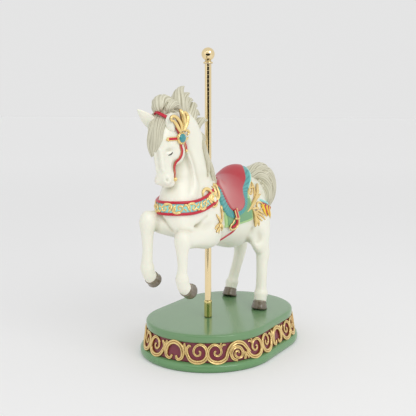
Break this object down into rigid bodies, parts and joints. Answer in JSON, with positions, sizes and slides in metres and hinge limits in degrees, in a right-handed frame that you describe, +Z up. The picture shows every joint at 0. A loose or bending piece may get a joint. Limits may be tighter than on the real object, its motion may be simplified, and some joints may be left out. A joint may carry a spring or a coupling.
{
  "type": "carousel horse",
  "caption": "Prancing carousel horse with saddle and harness on a brass pole, standing on an oval scroll-carved plinth.",
  "frame": {"origin": "centre of the plinth's underside", "axes": "+Z up the pole, +X the way the horse faces, +Y its left side"},
  "size_m": [0.2655, 0.1586, 0.3472],
  "materials": {
    "painted_resin": "cast resin, hand painted in ivory with coloured harness, satin lacquer",
    "plinth_paint": "cast resin, sage green top, burgundy band with gold scrolls, satin lacquer",
    "brass": "polished brass",
    "brass_dark": "polished brass, a little darker"
  },
  "bodies": {
    "root": {"horse": "painted_resin", "plinth": "plinth_paint", "pole": "brass", "ferrule": "brass_dark", "finial": "brass"}
  },
  "joints": []
}
